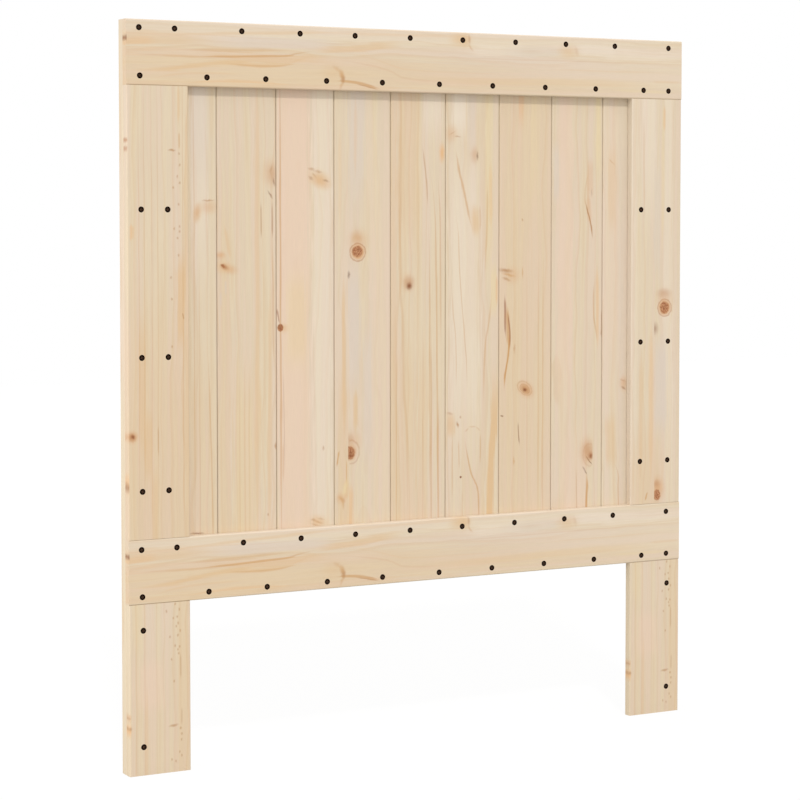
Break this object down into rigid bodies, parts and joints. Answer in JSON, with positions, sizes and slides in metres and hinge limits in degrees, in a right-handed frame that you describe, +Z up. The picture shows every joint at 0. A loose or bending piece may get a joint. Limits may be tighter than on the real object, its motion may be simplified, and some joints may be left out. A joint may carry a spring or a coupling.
{
  "type": "pine bed headboard",
  "caption": "Upright pine headboard for a single bed: a frame of rails, stiles and legs screwed over a field of vertical planks with countersunk black screws.",
  "frame": {"origin": "on the floor under the middle of the headboard: centre of the feet's rectangle in plan", "axes": "+Z up along the boards' height, +X to the right as the front is seen, the screwed front faces -Y and the plain back, which goes to the wall, faces +Y"},
  "size_m": [0.925, 0.029, 1.05],
  "materials": {
    "pine_front": "matte",
    "pine_posts": "matte",
    "pine_planks": "matte",
    "black_screw": "satin"
  },
  "bodies": {
    "root": {"top_rail": "pine_front", "bottom_rail": "pine_front", "left_stile": "pine_front", "right_stile": "pine_front", "left_leg_facing": "pine_front", "right_leg_facing": "pine_front", "left_rear_post": "pine_posts", "right_rear_post": "pine_posts", "plank_1": "pine_planks", "plank_2": "pine_planks", "plank_3": "pine_planks", "plank_4": "pine_planks", "plank_5": "pine_planks", "plank_6": "pine_planks", "plank_7": "pine_planks", "plank_8": "pine_planks", "plank_9": "pine_planks", "top_rail_screws": "black_screw", "bottom_rail_screws": "black_screw", "left_stile_screws": "black_screw", "right_stile_screws": "black_screw", "left_leg_screws": "black_screw", "right_leg_screws": "black_screw"}
  },
  "joints": []
}
